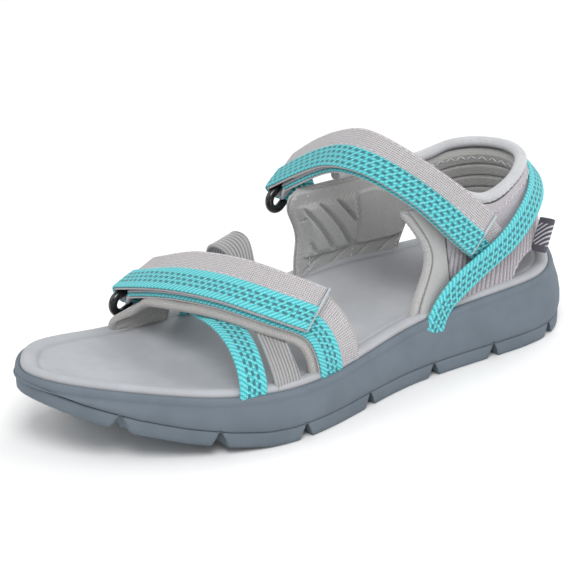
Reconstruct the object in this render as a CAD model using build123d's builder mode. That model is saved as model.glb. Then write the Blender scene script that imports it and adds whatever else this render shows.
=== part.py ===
"""Strappy sport sandal for the left foot, EU women's size 38.

Frame, in millimetres: +X points to the heel, -Y to the outer (lateral) side, +Z up,
with the floor at Z = 0. Every strap is a run of flat stations between a front rail and
a rear rail, and its layers lie at set depths under the top face of the closing tab.
"""
import os

from build123d import *

# ---------------------------------------------------------------- driving dimensions
SOLE_LENGTH = 253.4  # outsole, toe tip to heel
SOLE_WIDTH = 92.5  # across the ball of the foot
OUTSOLE_THICK = 6.0  # rubber under the midsole
OUTSOLE_INSET = 0.8  # outsole edge inside the midsole's outer face
LIP_DEPTH = 4.0  # how far the footbed sits down into the midsole
FOOTBED_INSET = 2.2  # footbed edge inside the midsole's outer face
FOOTBED_RIM = 2.5  # raised rim of the footbed above the midsole's edge
FOOTBED_RIM_WIDTH = 8.0
FOOTBED_DISH = 3.0  # how far the middle of the footbed lies under its rim
GROOVE_WIDTH = 6.4  # flex grooves across the outsole
GROOVE_HEIGHT = 5.4
GROOVE_PLACES = (-105, -74, -40, -4, 34, 66, 100)

WEBBING = 1.0  # thickness of the grey webbing
TRIM = 0.9  # thickness of the teal webbing on top of it
HOOK = 0.9  # hook tape under a tab
LOOP = 0.9  # loop tape on the lower strap
PLY_GAP = 0.1  # between sewn layers
OPEN_GAP = 0.3  # between the tab's hooks and the loops, which part when the tab opens
PADDING = 2.7  # padded lining under a closure
TRIM_SHARE = 0.53  # part of the strap's width that is teal, from its front edge
TAPE_SPAN = (0.05, 0.95)  # part of the strap's width that the tapes cover
LINING_SPAN = (-0.05, 1.03)  # the lining, a little wider than its strap
END_SPARE = 1.0  # free length between the lower strap's end and the webbing round the bar

BAR_RADIUS = 1.7  # ring wire
BAR_CLEARANCE = 0.3  # webbing loop around the ring wire
BAR_SPACING = 7.7  # strap bar to keeper bar
RING_SLACK = 0.6  # ring window beyond the strap's width
KEEPER_WIDTH = 15.0
KEEPER_THICK = 1.2

QUARTER_PAD = 3.2  # padded quarters and heel collar
SKIN = 1.3  # outer fabric of the quarters and heel band
SIDE_STRAP = 1.7  # teal strap round the heel
TOE_STRAP = 1.7  # teal toe strap
ELASTIC = 1.5
OUTER_SKIN_SPAN = (0.12, 1)  # part of the outer quarter's length under its outer fabric
INNER_SKIN_SPAN = (0, 0.95)
BINDING_WIDTH = 5.4
BINDING_HEIGHT = 3.4
COLLAR_CENTRE = 60  # X that the collar's binding is wrapped towards round the heel
COLLAR_TURN = 90  # X where the collar starts to turn round the heel
LABEL_LENGTH = 14.0
LABEL_REACH = 6.4  # how far the label stands out from the heel band
LABEL_FOLD = 2.6  # outside width of its folded loop
LABEL_THICK = 0.9
CAP_LENGTH = 1.6  # sealed end of a tab

PLY_DEPTH = TRIM + PLY_GAP + WEBBING  # teal and grey webbing together
WRAP_INNER = BAR_RADIUS + BAR_CLEARANCE
WRAP_OUTER = WRAP_INNER + PLY_DEPTH
TAB_DEPTH = PLY_DEPTH + PLY_GAP + HOOK
BASE_DEPTH = TAB_DEPTH + OPEN_GAP + LOOP + PLY_GAP  # lower strap under the tab's top face
SKIN_DEPTH = SKIN + PLY_GAP

WIDE = 80  # beyond the sole's half width, for cuts right across it
TALL = 90  # above every part of the sole
ABOVE = 12  # how far a pocket's tool stands out of the sole

os.makedirs("parts", exist_ok=True)


# ---------------------------------------------------------------- helpers
def save(part, name):
    """Label a finished piece and write its STEP file."""
    part.label = name
    export_step(part, "parts/" + name + ".step")


def vectors(points):
    return [Vector(*point) for point in points]


def between(first, second, share):
    return first + (second - first) * share


def axes(front, rear, index):
    """Width, outward and forward directions of a strap at one station."""
    middles = [between(a, b, 0.5) for a, b in zip(front, rear)]
    ahead = middles[min(index + 1, len(middles) - 1)]
    behind = middles[max(index - 1, 0)]
    wide = (rear[index] - front[index]).normalized()
    outward = wide.cross(ahead - behind).normalized()
    return wide, outward, outward.cross(wide)


def inset(front, rear, depth):
    """Move both rails of a strap inwards by a depth."""
    new_front = []
    new_rear = []
    for index in range(len(front)):
        outward = axes(front, rear, index)[1]
        new_front.append(front[index] - outward * depth)
        new_rear.append(rear[index] - outward * depth)
    return new_front, new_rear


def lay(front, rear, top, bottom, start=0.0, end=1.0, stations=None):
    """Loft one layer between two rails, from depth top to depth bottom under them.

    start and end are shares of the width, and stations is how many are used.
    """
    sections = []
    for index in range(stations or len(front)):
        wide, outward, forward = axes(front, rear, index)
        near = between(front[index], rear[index], start)
        far = between(front[index], rear[index], end)
        middle = between(near, far, 0.5) - outward * ((top + bottom) / 2)
        with BuildSketch(Plane(origin=middle, x_dir=wide, z_dir=forward * -1)) as section:
            Rectangle((far - near).length, bottom - top)
        sections.append(section.sketch.face())
    loft(sections)


def shortened(front, rear, length):
    """Both rails with their last station moved back along the strap by a length."""
    last = between(front[-1], rear[-1], 0.5) - between(front[-2], rear[-2], 0.5)
    share = length / last.length
    new_front = front[:-1] + [between(front[-1], front[-2], share)]
    new_rear = rear[:-1] + [between(rear[-1], rear[-2], share)]
    return new_front, new_rear


def bar_place(front, rear):
    """Centre and directions of the ring bar that a tab turns round at its last station."""
    wide, outward, forward = axes(front, rear, len(front) - 1)
    centre = between(front[-1], rear[-1], 0.5) - outward * WRAP_OUTER
    return centre, wide, outward, forward


def wrap(front, rear, inner, outer, start=0.0, end=1.0):
    """Half a turn of a layer round the ring bar, in line with the strap above it."""
    centre, wide, outward, forward = bar_place(front, rear)
    width = (rear[-1] - front[-1]).length
    origin = centre + wide * (width * (start - 0.5))
    with BuildSketch(Plane(origin=origin, x_dir=forward, z_dir=wide)) as section:
        Circle(outer)
        Circle(inner, mode=Mode.SUBTRACT)
        Rectangle(outer, 2 * outer, align=(Align.MAX, Align.CENTER), mode=Mode.SUBTRACT)
    extrude(section.sketch, amount=width * (end - start))


def ring_axes(front, rear, hang):
    """Strap bar, keeper bar, bar direction and outward normal of a ring."""
    strap_bar, wide = bar_place(front, rear)[:2]
    down = (hang - wide * hang.dot(wide)).normalized()
    return strap_bar, strap_bar + down * BAR_SPACING, wide, wide.cross(down)


def ring_wire(front, rear, hang):
    """A racetrack ring: two straight bars joined by two half turns."""
    strap_bar, keeper_bar, wide, outward = ring_axes(front, rear, hang)
    half_bar = (rear[-1] - front[-1]).length / 2 + RING_SLACK
    middle = between(strap_bar, keeper_bar, 0.5)
    down = (keeper_bar - strap_bar).normalized()
    for bar in (strap_bar, keeper_bar):
        with BuildSketch(Plane(origin=bar - wide * half_bar, z_dir=wide)) as section:
            Circle(BAR_RADIUS)
        extrude(section.sketch, amount=2 * half_bar)
    for side_of in (-1, 1):
        end = middle + wide * (half_bar * side_of)
        place = Plane(origin=end, x_dir=down, z_dir=wide * side_of)
        with BuildSketch(place) as section:
            with Locations((BAR_SPACING / 2, 0)):
                Circle(BAR_RADIUS)
        revolve(section.sketch, axis=Axis(end, outward * -side_of), revolution_arc=180)


def keeper_loop(front, rear, hang, tail_front, tail_rear):
    """Webbing loop round the keeper bar, with a tail sewn to the upper."""
    keeper_bar, wide, outward = ring_axes(front, rear, hang)[1:]
    inner = BAR_RADIUS + BAR_CLEARANCE
    with BuildSketch(Plane(origin=keeper_bar - wide * (KEEPER_WIDTH / 2), z_dir=wide)) as section:
        Circle(inner + KEEPER_THICK)
        Circle(inner, mode=Mode.SUBTRACT)
    extrude(section.sketch, amount=KEEPER_WIDTH)
    start = keeper_bar - outward * (inner + KEEPER_THICK / 4)
    half_wide = wide * (KEEPER_WIDTH / 2)
    lay([start - half_wide] + tail_front, [start + half_wide] + tail_rear, 0, KEEPER_THICK)


def tab_cap(front, rear):
    """Sealed end of a tab, just past its first station."""
    forward = axes(front, rear, 0)[2]
    cap_front = [front[0] - forward * CAP_LENGTH, front[0] - forward * PLY_GAP]
    cap_rear = [rear[0] - forward * CAP_LENGTH, rear[0] - forward * PLY_GAP]
    lay(cap_front, cap_rear, 0, TAB_DEPTH)


# ---------------------------------------------------------------- rails
# Front closure: top face of its tab, from the free end over the foot to the ring.
TOE_TAB_FRONT = vectors([
    (-36.5, -45, 40.5), (-43.5, -40.5, 43.8), (-50.5, -33, 47), (-56.5, -20, 49),
    (-60.2, -6, 48.6), (-62.8, 9, 46.6), (-64.2, 25, 42.9), (-64, 41, 38.2),
])
TOE_TAB_REAR = vectors([
    (-18.5, -35.5, 50), (-27, -32, 54.5), (-33.5, -24, 57.5), (-38.2, -11, 59),
    (-41.5, 3, 58.2), (-44, 16, 56), (-46.5, 28.5, 51.9), (-44.6, 42, 46.6),
])
TOE_ANCHOR_FRONT = vectors([(-31, -46.6, 14), (-31.5, -47.2, 22), (-33, -45.8, 31)])
TOE_ANCHOR_REAR = vectors([(-9, -41.8, 14), (-9.5, -42.6, 22), (-12.5, -41.2, 35)])
TOE_RING_HANG = Vector(0.394, 0.05, -0.917)
TOE_KEEPER_FRONT = vectors([(-59, 39.6, 24), (-60.5, 40.2, 19.5), (-60.5, 40.2, 15)])
TOE_KEEPER_REAR = vectors([(-44, 39.6, 25), (-45.5, 40, 19.5), (-45.5, 40, 15)])

# Inner side of the forefoot lining, from under the ring down to the sole.
WING_FRONT = vectors([
    (-61, 31.4, 32), (-66, 35, 29), (-67.5, 36.6, 24), (-67.5, 37.4, 19), (-67.5, 37.4, 14),
])
WING_REAR = vectors([(-41, 33.4, 39.8), (-42, 35.9, 34), (-44, 37.4, 25.5), (-45, 38, 19), (-45, 38, 14)])

# Instep closure, the same way round.
INSTEP_TAB_FRONT = vectors([
    (51.5, -35.6, 47.1), (42.4, -34.4, 55.6), (33.8, -31.4, 64.8), (22.5, -26, 75),
    (14.5, -17, 81.6), (10.5, -4, 83.2), (10.3, 10, 80), (6.5, 23, 73.3), (4.2, 34, 66.9),
])
INSTEP_TAB_REAR = vectors([
    (64.4, -35.6, 60.7), (55.6, -34, 69), (47.8, -31, 76), (37.5, -26, 84.8),
    (29.5, -18, 91.8), (24, -5, 96), (22.6, 9, 93.4), (21, 24.5, 86.3), (18.8, 35.6, 78.6),
])
INSTEP_ANCHOR_FRONT = vectors([(61.5, -32.3, 38.5)])
INSTEP_ANCHOR_REAR = vectors([(73, -31.4, 51)])
INSTEP_RING_HANG = Vector(0.6, 0.1, -0.79)
INSTEP_KEEPER_FRONT = vectors([(14.5, 31, 54), (17, 30.6, 46)])
INSTEP_KEEPER_REAR = vectors([(29.5, 31.6, 56.5), (32, 30.8, 48.5)])

# Toe strap and elastic strap, sole to sole under the front closure.
TOE_STRAP_FRONT = vectors([
    (-67, -45.3, 14), (-67, -45.8, 21), (-64.5, -40.5, 31), (-62, -30, 37.4), (-59.5, -17, 39.4),
    (-57, -4, 38.4), (-52.5, 11, 36), (-46, 23, 32), (-40.5, 31.5, 26.5), (-37, 36.5, 20), (-36.5, 36.5, 14),
])
TOE_STRAP_REAR = vectors([
    (-56, -46.3, 14), (-56, -47, 21), (-54, -41.5, 31.5), (-51.5, -31, 38), (-49.3, -17.5, 41),
    (-46.5, -4, 41.4), (-42, 12.5, 39.2), (-35.5, 25, 34.5), (-30, 33.5, 28), (-26.5, 36.4, 20.5),
    (-26, 36.4, 14),
])
ELASTIC_FRONT = vectors([
    (-52, -47, 14), (-52, -47.4, 20.5), (-51.5, -42, 30.5), (-49.5, -32.5, 37.6), (-46.5, -20, 42),
    (-41.5, -8, 45), (-36.5, 3.5, 54.5), (-36, 14, 56.2), (-32, 25, 49), (-26, 31.5, 40), (-19, 34, 30),
    (-15, 33.6, 21), (-14.5, 33.2, 15),
])
ELASTIC_REAR = vectors([
    (-40, -46.4, 14), (-40, -47, 20.5), (-40.4, -41.5, 31), (-39.2, -32.5, 38.4), (-35.5, -20, 46),
    (-31, -7.5, 50.5), (-27, 3.5, 60), (-24.5, 14.5, 59.6), (-20.5, 25.5, 52), (-14.5, 31.5, 42),
    (-7, 33, 31.5), (-3, 31.8, 22), (-2.5, 31.4, 16),
])

# Teal strap up the outer side, round the back of the heel and down the inner side.
SIDE_UPPER = vectors([
    (27.5, -35.2, 17), (32, -35.6, 28), (44, -34.8, 39), (58, -34.5, 45.8), (71.5, -32.9, 51.8),
    (83.5, -29.6, 59), (94, -23.4, 64.8), (103, -12.9, 69.2), (107.4, 0, 71), (103, 12.9, 69.2),
    (94, 23.4, 65), (83.5, 29.4, 60), (71.5, 31.6, 53.5), (58, 32.3, 46.5), (44, 32.3, 39.5),
    (32, 31.6, 28.5), (27.5, 30.6, 18),
])
SIDE_LOWER = vectors([
    (38.5, -35.1, 17), (41, -35.6, 24.5), (50, -35.4, 31.2), (61.7, -35.2, 37.4), (76.3, -34, 43.6),
    (88.8, -31, 50.5), (99.8, -25.2, 56.5), (109.8, -14.2, 61), (115.2, 0, 62.8), (109.8, 14.2, 61),
    (99.8, 25, 56.5), (88.8, 30.6, 51), (76.3, 32.6, 44.5), (61.7, 33, 38), (50, 32.6, 31.5),
    (41, 31.6, 25), (38.5, 30.6, 18),
])

# Heel band, outer face: upper and lower edge, outer side to inner side.
BAND_UPPER = vectors([
    (46, -25, 66), (58, -25, 65), (69, -25.2, 61.5), (80.5, -25, 64), (91.5, -21, 68),
    (101.5, -12.5, 71), (105.6, 0, 71.8), (101.5, 12.5, 71.6), (91.5, 21, 70.3), (82, 24.4, 68.4),
    (74.5, 25.6, 66.8),
])
BAND_LOWER = vectors([
    (46, -33.2, 18), (60, -32.8, 18), (71.5, -32, 19), (82.5, -29.9, 34), (97, -25.4, 37.5),
    (110, -15.4, 35), (117.3, 0, 33.5), (110.5, 15.4, 37), (98, 24.6, 43), (86, 28, 44.5),
    (76, 28.4, 41),
])
BINDING_TAIL_OUTER = vectors([(60, 25.2, 67.6), (44, 24, 68.2), (28, 22.6, 68.4)])

# Quarters, outer face of the padding: toe edge and heel edge from the sole upwards.
OUTER_QUARTER_TOE = vectors([
    (23.5, -32.2, 16), (25.5, -31.6, 26), (32, -29.4, 36), (37.5, -27, 46), (35, -25, 55), (27, -22.6, 66),
])
OUTER_QUARTER_HEEL = vectors([
    (45.5, -32, 16), (45.5, -30.8, 26), (45.5, -28.8, 36), (45.6, -26.8, 46), (45.6, -25, 56),
    (45.6, -23.4, 67),
])
INNER_QUARTER_TOE = vectors([
    (14, 27.2, 17), (13.5, 27.8, 28), (13.4, 27.6, 38), (13.2, 26.6, 46), (9.7, 25, 54), (6.2, 22.8, 62),
    (7.2, 21.4, 67),
])
INNER_QUARTER_HEEL = vectors([
    (65, 27.2, 17), (65.5, 27.8, 28), (69.5, 27.8, 38), (72.5, 27.4, 46), (73.8, 26.8, 54),
    (73.8, 25.8, 62), (73.4, 25.2, 66),
])

# Heel label: where its folded loop is sewn to the heel band, which way it stands out, its length.
LABEL_PLACE = Vector(92.6, -27, 37.8)
LABEL_OUT = Vector(0.25, -0.97, 0.03)
LABEL_UP = Vector(0.48, 0.15, 0.86)

# ---------------------------------------------------------------- sole
LENGTH_SCALE = SOLE_LENGTH / 253.4  # the curves below are drawn for a sole 253.4 long
WIDTH_SCALE = SOLE_WIDTH / 92.5  # and 92.5 wide
OUTLINE = [
    (-126.7, 4), (-121, -12), (-108, -25), (-90, -36.5), (-70, -45), (-50, -49.5), (-30, -48.5),
    (-5, -42.5), (20, -36.8), (45, -35), (70, -35), (92, -33.5), (108, -27.5), (121, -14),
    (126.7, 0), (121, 14), (109, 26), (94, 31.8), (72, 32.4), (48, 31.5), (24, 32), (0, 36),
    (-25, 41.3), (-48, 43), (-72, 40.5), (-94, 36.5), (-110, 30), (-121, 18),
]
RIM = [[
    (-130, 31), (-110, 28.2), (-93, 25.4), (-76, 22.6), (-58, 21), (-30, 20.4), (0, 21.8),
    (30, 24.6), (60, 26.4), (90, 27.6), (108, 28.4), (120, 29.2), (130, 30),
]]
GROUND = [
    [(-130, 24.5), (-115, 17), (-100, 11.2), (-85, 6.6), (-70, 3), (-56, 0.7), (-45, 0)],
    [(100, 0), (115, 1), (130, 3.4)],
]


def plan(inset_by=0.0):
    """Plan of the sole, each point moved inwards, square to the outline."""
    points = [Vector(x * LENGTH_SCALE, y * WIDTH_SCALE) for x, y in OUTLINE]
    moved = []
    for index, point in enumerate(points):
        along = (points[(index + 1) % len(points)] - points[index - 1]).normalized()
        moved.append(point + Vector(-along.Y, along.X) * inset_by)
    with BuildSketch() as sketch:
        with BuildLine():
            Spline(moved, periodic=True)
        make_face()
    return sketch.sketch


def raised(runs, by):
    """A height curve, made of spline runs joined by straight lines, at the sole's length and lifted."""
    return [[(x * LENGTH_SCALE, z + by) for x, z in run] for run in runs]


def side(lower, upper):
    """Side view of a sole layer between two height curves, clear of the sole's inner side."""
    with BuildSketch(Plane.XZ.offset(-WIDE)) as sketch:
        with BuildLine():
            for runs in (lower, upper):
                for run in runs:
                    Spline(run)
                for first, second in zip(runs, runs[1:]):
                    Line(first[-1], second[0])
            Line(lower[0][0], upper[0][0])
            Line(lower[-1][-1], upper[-1][-1])
        make_face()
    return sketch.sketch


def sole_layer(inset_by, lower, upper):
    """One layer of the sole: its plan, cut to the side view between two height curves."""
    extrude(plan(inset_by), amount=TALL)
    extrude(side(lower, upper), amount=2 * WIDE, mode=Mode.INTERSECT)


def ground_height(x):
    """Height of the sole's underside at a place along the curves as drawn."""
    for (x1, z1), (x2, z2) in zip(GROUND[0], GROUND[0][1:]):
        if x1 <= x <= x2:
            return z1 + (z2 - z1) * (x - x1) / (x2 - x1)
    return 0.0


def cut_grooves():
    """Cut the V-shaped flex grooves, open downwards, across the active part."""
    for place in GROOVE_PLACES:
        x = place * LENGTH_SCALE
        floor = ground_height(place)
        with BuildSketch(Plane.XZ) as section:
            with BuildLine():
                Polyline(
                    (x - GROOVE_WIDTH / 2, floor - 3), (x + GROOVE_WIDTH / 2, floor - 3),
                    (x, floor + GROOVE_HEIGHT), close=True,
                )
            make_face()
        extrude(section.sketch, amount=WIDE, both=True, mode=Mode.SUBTRACT)


with BuildPart() as outsole:
    sole_layer(OUTSOLE_INSET, raised(GROUND, 0), raised(GROUND, OUTSOLE_THICK))
    cut_grooves()
save(outsole.part, "outsole")

with BuildPart() as pocket:
    sole_layer(FOOTBED_INSET, raised(RIM, -LIP_DEPTH), raised(RIM, ABOVE))

with BuildPart() as midsole:
    sole_layer(0, raised(GROUND, OUTSOLE_THICK + PLY_GAP / 2), raised(RIM, 0))
    add(pocket.part, mode=Mode.SUBTRACT)
save(midsole.part, "midsole")

with BuildPart() as dish:
    dish_floor = raised(RIM, FOOTBED_RIM - FOOTBED_DISH)
    sole_layer(FOOTBED_INSET + FOOTBED_RIM_WIDTH, dish_floor, raised(RIM, ABOVE))

with BuildPart() as footbed:
    sole_layer(FOOTBED_INSET + PLY_GAP, raised(RIM, PLY_GAP - LIP_DEPTH), raised(RIM, FOOTBED_RIM))
    add(dish.part, mode=Mode.SUBTRACT)
save(footbed.part, "footbed")

# ---------------------------------------------------------------- closures
def make_closure(name, tab_front, tab_rear, anchor_front, anchor_rear, hang, tail_front, tail_rear):
    """The two plies, tapes, ring and keeper of one hook-and-loop closure."""
    last = len(tab_front) - 1

    with BuildPart() as tab_webbing:
        lay(tab_front, tab_rear, TRIM + PLY_GAP, PLY_DEPTH)
        wrap(tab_front, tab_rear, WRAP_INNER, WRAP_INNER + WEBBING)
    save(tab_webbing.part, name + "_tab_webbing")

    with BuildPart() as tab_trim:
        lay(tab_front, tab_rear, 0, TRIM, 0, TRIM_SHARE)
        wrap(tab_front, tab_rear, WRAP_OUTER - TRIM, WRAP_OUTER, 0, TRIM_SHARE)
    save(tab_trim.part, name + "_tab_trim")

    with BuildPart() as tab_end:
        tab_cap(tab_front, tab_rear)
    save(tab_end.part, name + "_tab_end")

    with BuildPart() as hook_tape:
        lay(tab_front, tab_rear, PLY_DEPTH + PLY_GAP, TAB_DEPTH, *TAPE_SPAN, last - 1)
    save(hook_tape.part, name + "_hook_tape")

    under_front, under_rear = inset(tab_front, tab_rear, BASE_DEPTH)
    with BuildPart() as loop_tape:
        lay(under_front, under_rear, -PLY_GAP - LOOP, -PLY_GAP, *TAPE_SPAN, last)
    save(loop_tape.part, name + "_loop_tape")

    under_front, under_rear = shortened(under_front, under_rear, WRAP_OUTER + END_SPARE)
    base_front = anchor_front + under_front
    base_rear = anchor_rear + under_rear
    with BuildPart() as base_webbing:
        lay(base_front, base_rear, TRIM + PLY_GAP, PLY_DEPTH)
    save(base_webbing.part, name + "_base_webbing")

    with BuildPart() as base_trim:
        lay(base_front, base_rear, 0, TRIM, 0, TRIM_SHARE)
    save(base_trim.part, name + "_base_trim")

    with BuildPart() as ring:
        ring_wire(tab_front, tab_rear, hang)
    save(ring.part, name + "_ring")

    with BuildPart() as keeper:
        keeper_loop(tab_front, tab_rear, hang, tail_front, tail_rear)
    save(keeper.part, name + "_keeper")
    return base_front, base_rear


toe_base = make_closure(
    "toe", TOE_TAB_FRONT, TOE_TAB_REAR, TOE_ANCHOR_FRONT, TOE_ANCHOR_REAR,
    TOE_RING_HANG, TOE_KEEPER_FRONT, TOE_KEEPER_REAR,
)
make_closure(
    "instep", INSTEP_TAB_FRONT, INSTEP_TAB_REAR, INSTEP_ANCHOR_FRONT, INSTEP_ANCHOR_REAR,
    INSTEP_RING_HANG, INSTEP_KEEPER_FRONT, INSTEP_KEEPER_REAR,
)

# ---------------------------------------------------------------- forefoot
with BuildPart() as forefoot_lining:
    pad_front, pad_rear = inset(*toe_base, PLY_DEPTH + PLY_GAP)
    lay(pad_front[:-1] + WING_FRONT, pad_rear[:-1] + WING_REAR, 0, PADDING, *LINING_SPAN)
save(forefoot_lining.part, "forefoot_lining")

with BuildPart() as toe_strap:
    lay(TOE_STRAP_FRONT, TOE_STRAP_REAR, 0, TOE_STRAP)
save(toe_strap.part, "toe_strap")

with BuildPart() as elastic_strap:
    lay(ELASTIC_FRONT, ELASTIC_REAR, 0, ELASTIC)
save(elastic_strap.part, "elastic_strap")

# ---------------------------------------------------------------- quarters and heel
with BuildPart() as outer_quarter_lining:
    lay(OUTER_QUARTER_TOE, OUTER_QUARTER_HEEL, 0, QUARTER_PAD)
save(outer_quarter_lining.part, "outer_quarter_lining")

with BuildPart() as outer_quarter_skin:
    lay(OUTER_QUARTER_TOE, OUTER_QUARTER_HEEL, -SKIN_DEPTH, -PLY_GAP, *OUTER_SKIN_SPAN)
save(outer_quarter_skin.part, "outer_quarter_skin")

with BuildPart() as inner_quarter_lining:
    lay(INNER_QUARTER_HEEL, INNER_QUARTER_TOE, 0, QUARTER_PAD)
save(inner_quarter_lining.part, "inner_quarter_lining")

with BuildPart() as inner_quarter_skin:
    lay(INNER_QUARTER_HEEL, INNER_QUARTER_TOE, -SKIN_DEPTH, -PLY_GAP, *INNER_SKIN_SPAN)
save(inner_quarter_skin.part, "inner_quarter_skin")

with BuildPart() as heel_band:
    lay(BAND_UPPER, BAND_LOWER, 0, SKIN)
save(heel_band.part, "heel_band")

with BuildPart() as heel_lining:
    lay(BAND_UPPER, BAND_LOWER, SKIN_DEPTH, SKIN_DEPTH + QUARTER_PAD)
save(heel_lining.part, "heel_lining")

with BuildPart() as side_strap:
    lay(SIDE_UPPER, SIDE_LOWER, 0, SIDE_STRAP)
save(side_strap.part, "side_strap")

with BuildPart() as collar_binding:
    outer_edge = BAND_UPPER[1:] + BINDING_TAIL_OUTER
    inner_edge = []
    for point in outer_edge:
        turn = point.X - COLLAR_CENTRE if point.X > COLLAR_TURN else 0
        inner_edge.append(point - Vector(turn, point.Y, 0).normalized() * BINDING_WIDTH)
    lay(inner_edge, outer_edge, -BINDING_HEIGHT - PLY_GAP, -PLY_GAP)
save(collar_binding.part, "collar_binding")

with BuildPart() as heel_label:
    with BuildSketch(Plane(origin=LABEL_PLACE, x_dir=LABEL_OUT, z_dir=LABEL_UP)) as section:
        with Locations((LABEL_REACH / 2, 0)):
            SlotOverall(LABEL_REACH, LABEL_FOLD)
            SlotOverall(LABEL_REACH - 2 * LABEL_THICK, LABEL_FOLD - 2 * LABEL_THICK, mode=Mode.SUBTRACT)
    extrude(section.sketch, amount=LABEL_LENGTH)
save(heel_label.part, "heel_label")
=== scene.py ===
import math

import bmesh
import bpy
import numpy as np
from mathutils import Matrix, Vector


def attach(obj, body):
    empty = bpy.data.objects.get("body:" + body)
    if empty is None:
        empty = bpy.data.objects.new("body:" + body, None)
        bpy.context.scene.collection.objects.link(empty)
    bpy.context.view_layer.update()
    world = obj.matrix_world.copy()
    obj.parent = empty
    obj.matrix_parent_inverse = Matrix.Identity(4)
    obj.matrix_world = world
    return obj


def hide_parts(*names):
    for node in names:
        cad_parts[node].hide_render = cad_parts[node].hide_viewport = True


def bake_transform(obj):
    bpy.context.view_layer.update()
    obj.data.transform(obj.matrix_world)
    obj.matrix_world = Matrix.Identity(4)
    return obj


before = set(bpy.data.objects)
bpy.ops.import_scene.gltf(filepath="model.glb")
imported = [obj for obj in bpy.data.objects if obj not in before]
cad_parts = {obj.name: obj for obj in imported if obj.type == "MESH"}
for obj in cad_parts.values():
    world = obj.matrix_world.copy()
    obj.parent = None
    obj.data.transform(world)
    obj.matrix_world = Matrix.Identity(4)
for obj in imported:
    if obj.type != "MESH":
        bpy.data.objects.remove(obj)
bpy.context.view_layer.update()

# ------------------------------------------------------------------ sizes, in millimetres
TRIM, WEB, HOOK, LOOP, PLY_GAP, OPEN_GAP = 0.9, 1.0, 0.9, 0.9, 0.1, 0.3
PLY = TRIM + PLY_GAP + WEB
TAB = PLY + PLY_GAP + HOOK
BASE = TAB + OPEN_GAP + LOOP + PLY_GAP
SHARE = 0.53
BAR_R = 1.7
BAR_GAP = 0.3  # webbing loop around a ring bar
BAR_SPACING = 7.7  # strap bar to keeper bar
KEEPER_WIDTH, KEEPER_THICK = 15.0, 1.2
WRAP = BAR_R + BAR_GAP + PLY
PAD = 2.7
QUARTER = 3.2
SKIN = 1.3
TOE_STRAP_THICK, SIDE_STRAP_THICK, ELASTIC_THICK = 1.7, 1.7, 1.5
LABEL_LENGTH = 14.0
COLLAR_WIDTH, COLLAR_CENTRE, COLLAR_TURN = 5.4, 60, 90
TOE_HANG, INS_HANG = np.array([0.394, 0.05, -0.917]), np.array([0.6, 0.1, -0.79])


def pts(rows):
    return np.array(rows, float)


# ------------------------------------------------------------------ rails, as in the CAD
TOE_TAB_F = pts([(-36.5, -45, 40.5), (-43.5, -40.5, 43.8), (-50.5, -33, 47), (-56.5, -20, 49),
                 (-60.2, -6, 48.6), (-62.8, 9, 46.6), (-64.2, 25, 42.9), (-64, 41, 38.2)])
TOE_TAB_R = pts([(-18.5, -35.5, 50), (-27, -32, 54.5), (-33.5, -24, 57.5), (-38.2, -11, 59),
                 (-41.5, 3, 58.2), (-44, 16, 56), (-46.5, 28.5, 51.9), (-44.6, 42, 46.6)])
TOE_ANCHOR_F = pts([(-31, -46.6, 14), (-31.5, -47.2, 22), (-33, -45.8, 31)])
TOE_ANCHOR_R = pts([(-9, -41.8, 14), (-9.5, -42.6, 22), (-12.5, -41.2, 35)])
TOE_KEEP_F = pts([(-59, 39.6, 24), (-60.5, 40.2, 19.5), (-60.5, 40.2, 15)])
TOE_KEEP_R = pts([(-44, 39.6, 25), (-45.5, 40, 19.5), (-45.5, 40, 15)])
WING_F = pts([(-61, 31.4, 32), (-66, 35, 29), (-67.5, 36.6, 24), (-67.5, 37.4, 19), (-67.5, 37.4, 14)])
WING_R = pts([(-41, 33.4, 39.8), (-42, 35.9, 34), (-44, 37.4, 25.5), (-45, 38, 19), (-45, 38, 14)])
INS_TAB_F = pts([(51.5, -35.6, 47.1), (42.4, -34.4, 55.6), (33.8, -31.4, 64.8), (22.5, -26, 75),
                 (14.5, -17, 81.6), (10.5, -4, 83.2), (10.3, 10, 80), (6.5, 23, 73.3), (4.2, 34, 66.9)])
INS_TAB_R = pts([(64.4, -35.6, 60.7), (55.6, -34, 69), (47.8, -31, 76), (37.5, -26, 84.8),
                 (29.5, -18, 91.8), (24, -5, 96), (22.6, 9, 93.4), (21, 24.5, 86.3), (18.8, 35.6, 78.6)])
INS_ANCHOR_F = pts([(61.5, -32.3, 38.5)])
INS_ANCHOR_R = pts([(73, -31.4, 51)])
INS_KEEP_F = pts([(14.5, 31, 54), (17, 30.6, 46)])
INS_KEEP_R = pts([(29.5, 31.6, 56.5), (32, 30.8, 48.5)])
TOE_STRAP_F = pts([(-66.5, -42, 15.5), (-67, -45.8, 21), (-64.5, -40.5, 31), (-62, -30, 37.4),
                   (-59.5, -17, 39.4), (-57, -4, 38.4), (-52.5, 11, 36), (-46, 23, 32),
                   (-40.5, 31.5, 26.5), (-37, 36.5, 20), (-36.5, 36.5, 14)])
TOE_STRAP_R = pts([(-56, -43.2, 15.5), (-56, -47, 21), (-54, -41.5, 31.5), (-51.5, -31, 38),
                   (-49.3, -17.5, 41), (-46.5, -4, 41.4), (-42, 12.5, 39.2), (-35.5, 25, 34.5),
                   (-30, 33.5, 28), (-26.5, 36.4, 20.5), (-26, 36.4, 14)])
ELASTIC_F = pts([(-52, -47, 14), (-52, -47.4, 20.5), (-51.5, -42, 30.5), (-49.5, -32.5, 37.6),
                 (-46.5, -20, 42), (-41.5, -8, 45), (-36.5, 3.5, 54.5), (-36, 14, 56.2), (-32, 25, 49),
                 (-26, 31.5, 40), (-19, 34, 30), (-15, 33.6, 21), (-14.5, 33.2, 15)])
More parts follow.
